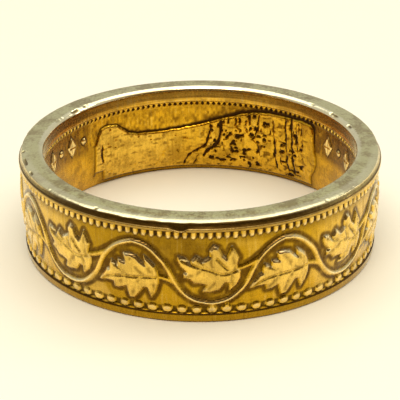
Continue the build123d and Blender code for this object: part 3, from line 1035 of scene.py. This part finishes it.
def patina_and_painted_shade_group():
    """Tarnish, and the painted shade and dark reflections carried with it: thick in the recesses, thin
    around them and along the veins, blotched all over.
    """
    tree, nodes, given, result = group(
        "patina_and_painted_shade",
        [
            ("Place", "NodeSocketVector", None),
            ("Recess", "NodeSocketFloat", 0.0),
            ("Halo", "NodeSocketFloat", 0.0),
            ("Stain", "NodeSocketFloat", 0.0),
            ("Blotches", "NodeSocketFloat", 0.5),
        ],
        ["Thick", "Thin"],
    )
    coarse = nodes.noise(given["Place"], 0.9, detail=5)
    middle = nodes.noise(given["Place"], 2.6, detail=4)
    fine = nodes.noise(given["Place"], 6.0, detail=4)
    broken = nodes.math("ADD", nodes.math("MULTIPLY", fine, 0.6), 0.70)
    thick = nodes.spread(nodes.math("MULTIPLY", given["Recess"], broken), 0.20, 0.80)
    halo = nodes.math("MULTIPLY", given["Halo"], nodes.spread(middle, 0.25, 0.60, 0.80, 1.0))
    stain = nodes.math("MULTIPLY", given["Stain"], nodes.spread(middle, 0.35, 0.60, 0.15, 1.0))
    haze = nodes.spread(nodes.math("ADD", coarse, nodes.math("MULTIPLY", fine, 0.4)), 0.62, 0.85)
    haze = nodes.math("MULTIPLY", haze, given["Blotches"])
    thin = nodes.math("MAXIMUM", nodes.math("MAXIMUM", halo, stain), haze)
    nodes.give(result, "Thick", thick)
    nodes.give(result, "Thin", thin)
    return tree


def scratches_group():
    """Fine lines, long along the wall or up it, as a height, a dark mask and a light mask."""
    tree, nodes, given, result = group(
        "fine scratches",
        [
            ("Place", "NodeSocketVector", None),
            ("Along", "NodeSocketFloat", 1.0),
            ("Across", "NodeSocketFloat", 1.0),
        ],
        ["Height", "Dark", "Light"],
    )
    level = nodes.noise(given["Place"], 1.0, (0.35, 0.35, 12.0), detail=4)
    upright = nodes.noise(given["Place"], 1.0, (7.0, 7.0, 0.6), detail=3)
    level = nodes.math("MULTIPLY", nodes.math("SUBTRACT", level, 0.5), given["Along"])
    upright = nodes.math("MULTIPLY", nodes.math("SUBTRACT", upright, 0.5), given["Across"])
    total = nodes.math("ADD", level, upright)
    nodes.give(result, "Height", total)
    nodes.give(result, "Dark", nodes.spread(total, 0.02, 0.16))
    nodes.give(result, "Light", nodes.spread(nodes.math("MULTIPLY", total, -1.0), 0.02, 0.16))
    return tree


PATINA_AND_PAINTED_SHADE = patina_and_painted_shade_group()
SCRATCHES = scratches_group()


def bronze(name, ground, proud, thin, thick, blotches, along, across, dull, bump):
    """Old coin bronze, whose values are those of the finishes table."""
    material = bpy.data.materials.new(name)
    material.use_nodes = True
    nodes = Nodes(material.node_tree)
    shader = material.node_tree.nodes["Principled BSDF"]
    for socket, value in coat_and_sheen.items():
        shader.inputs[socket].default_value = value
    place = nodes.add("ShaderNodeTexCoord").outputs["Object"]
    raised = nodes.attribute("raised")
    patina_and_painted_shade = nodes.add("ShaderNodeGroup", node_tree=PATINA_AND_PAINTED_SHADE)
    for socket, value in {
        "Place": place,
        "Recess": nodes.attribute("recess"),
        "Halo": nodes.attribute("halo"),
        "Stain": nodes.attribute("stain"),
        "Blotches": blotches,
    }.items():
        nodes.give(patina_and_painted_shade, socket, value)
    lines = nodes.add("ShaderNodeGroup", node_tree=SCRATCHES)
    for socket, value in {"Place": place, "Along": along, "Across": across}.items():
        nodes.give(lines, socket, value)

    colour = nodes.mix(nodes.spread(raised, 0.35, 0.95), ground, proud)
    colour = nodes.mix(nodes.math("MULTIPLY", lines.outputs["Light"], 0.35), colour, proud)
    colour = nodes.mix(nodes.math("MULTIPLY", lines.outputs["Dark"], 0.35), colour, thin)
    # Thin and thick tarnish, which also bring in the painted shade and dark reflections held in the recess
    # and halo attributes
    colour = nodes.mix(nodes.math("MULTIPLY", patina_and_painted_shade.outputs["Thin"], 0.95), colour, thin)
    colour = nodes.mix(patina_and_painted_shade.outputs["Thick"], colour, thick)
    # Painted highlights: gleam mixes the glint colour into the base colour
    gleam = nodes.attribute("gleam")
    colour = nodes.mix(nodes.math("MULTIPLY", gleam, 0.75), colour, GLINT)
    nodes.give(shader, "Base Color", colour)

    grains = nodes.noise(place, 9.0, detail=4)
    roughness = nodes.spread(grains, 0.3, 0.7, dull - 0.06, dull + 0.08)
    roughness = nodes.math("ADD", roughness, nodes.math("MULTIPLY", patina_and_painted_shade.outputs["Thick"], 0.25))
    roughness = nodes.math("SUBTRACT", roughness, nodes.math("MULTIPLY", gleam, 0.20))
    nodes.give(shader, "Roughness", roughness)

    height = nodes.math("ADD", lines.outputs["Height"], nodes.math("MULTIPLY", grains, 0.10))
    relief = nodes.add("ShaderNodeBump", {"Height": height, "Strength": bump, "Distance": 0.02 * MM})
    nodes.give(shader, "Normal", relief.outputs["Normal"])
    return material


# Camera, floor and light

CAMERA_PLACE = (0.0, -70.26, 35.94)
CAMERA_AIM = (-0.0001, 0.9017, -0.4323)
CAMERA_ROLL = -0.0036
FOCAL_PIXELS = 1311.9
PHOTO_SIDE = 400
SENSOR = 36.0

FLOOR_HALF = 600
FLOOR_COLOUR = (0.78, 0.74, 0.60, 1)

ROOM_DARK = 0.13
ROOM_LEVEL = 0.60
ROOM_OVERHEAD = 1.50
ROOM_BEHIND_COLOUR = (1.0, 0.66, 0.28, 1)
ROOM_COLOUR = (1.0, 0.99, 0.95, 1)
LAMP_AIM = (0, 0, 3)


def place_camera():
    """The photo's camera, its focal length given in pixels of the photo."""
    data = bpy.data.cameras.new("camera")
    camera = bpy.data.objects.new("camera", data)
    bpy.context.collection.objects.link(camera)
    data.sensor_width = SENSOR
    data.lens = FOCAL_PIXELS / PHOTO_SIDE * SENSOR
    data.clip_start = 0.002
    data.clip_end = 10.0
    turn = Vector(CAMERA_AIM).to_track_quat("-Z", "Y").to_matrix().to_4x4()
    camera.matrix_world = (
        Matrix.Translation(Vector(CAMERA_PLACE) * MM) @ turn @ Matrix.Rotation(CAMERA_ROLL, 4, "Z")
    )
    bpy.context.scene.camera = camera


def softbox(name, place, size, power, colour):
    """A soft rectangular lamp that looks at the ring."""
    data = bpy.data.lights.new(name, "AREA")
    data.shape = "RECTANGLE"
    data.size, data.size_y = size[0] * MM, size[1] * MM
    data.energy = power
    data.color = colour
    lamp = bpy.data.objects.new(name, data)
    bpy.context.collection.objects.link(lamp)
    lamp.location = Vector(place) * MM
    direction = (Vector(LAMP_AIM) - Vector(place)).normalized()
    lamp.rotation_euler = direction.to_track_quat("-Z", "Y").to_euler()


def lay_floor():
    """A wide pale floor, which is not part of the ring."""
    bm = bmesh.new()
    bmesh.ops.create_grid(bm, x_segments=1, y_segments=1, size=FLOOR_HALF * MM)
    mesh = bpy.data.meshes.new("floor")
    bm.to_mesh(mesh)
    bm.free()
    floor = bpy.data.objects.new("floor", mesh)
    bpy.context.collection.objects.link(floor)
    material = bpy.data.materials.new("pale floor")
    material.use_nodes = True
    shader = material.node_tree.nodes["Principled BSDF"]
    shader.inputs["Base Color"].default_value = FLOOR_COLOUR
    shader.inputs["Roughness"].default_value = 0.6
    mesh.materials.append(material)


def light_scene():
    """A pale room, bright overhead and dark behind the camera, with two soft lamps."""
    world = bpy.data.worlds.new("studio")
    bpy.context.scene.world = world
    world.use_nodes = True
    nodes = Nodes(world.node_tree)
    background = world.node_tree.nodes["Background"]
    split = nodes.add("ShaderNodeSeparateXYZ", {0: nodes.add("ShaderNodeTexCoord").outputs["Generated"]})
    behind = nodes.spread(split.outputs["Y"], -0.80, 0.0, ROOM_DARK, ROOM_LEVEL)
    overhead = nodes.spread(split.outputs["Z"], 0.60, 0.84, 0.0, ROOM_OVERHEAD)
    warm = nodes.spread(split.outputs["Y"], -0.80, 0.0)
    nodes.give(background, "Color", nodes.mix(warm, ROOM_BEHIND_COLOUR, ROOM_COLOUR))
    nodes.give(background, "Strength", nodes.math("ADD", behind, overhead))
    softbox("front lamp", (-15, -95, 200), (130, 50), 0.16, (1.0, 0.99, 0.96))
    softbox("right lamp", (170, 60, 120), (70, 50), 0.06, (1.0, 0.98, 0.94))


bpy.context.scene.view_settings.view_transform = "Standard"
place_camera()
lay_floor()
light_scene()

# Build the ring

for name, section, shape, finish in (
    ("outer_wall", wall_section, outer_relief, "outer bronze"),
    ("rim", rim_section, rim_wear, "rim bronze"),
    ("inner_wall", lining_section, inner_relief, "lining bronze"),
):
    piece = turned(name, section())
    skin = Skin(piece)
    shape(skin)
    skin.write()
    piece.data.materials.append(bronze(finish, **finishes[finish]))
    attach(piece, "root")
    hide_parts("ring_band")
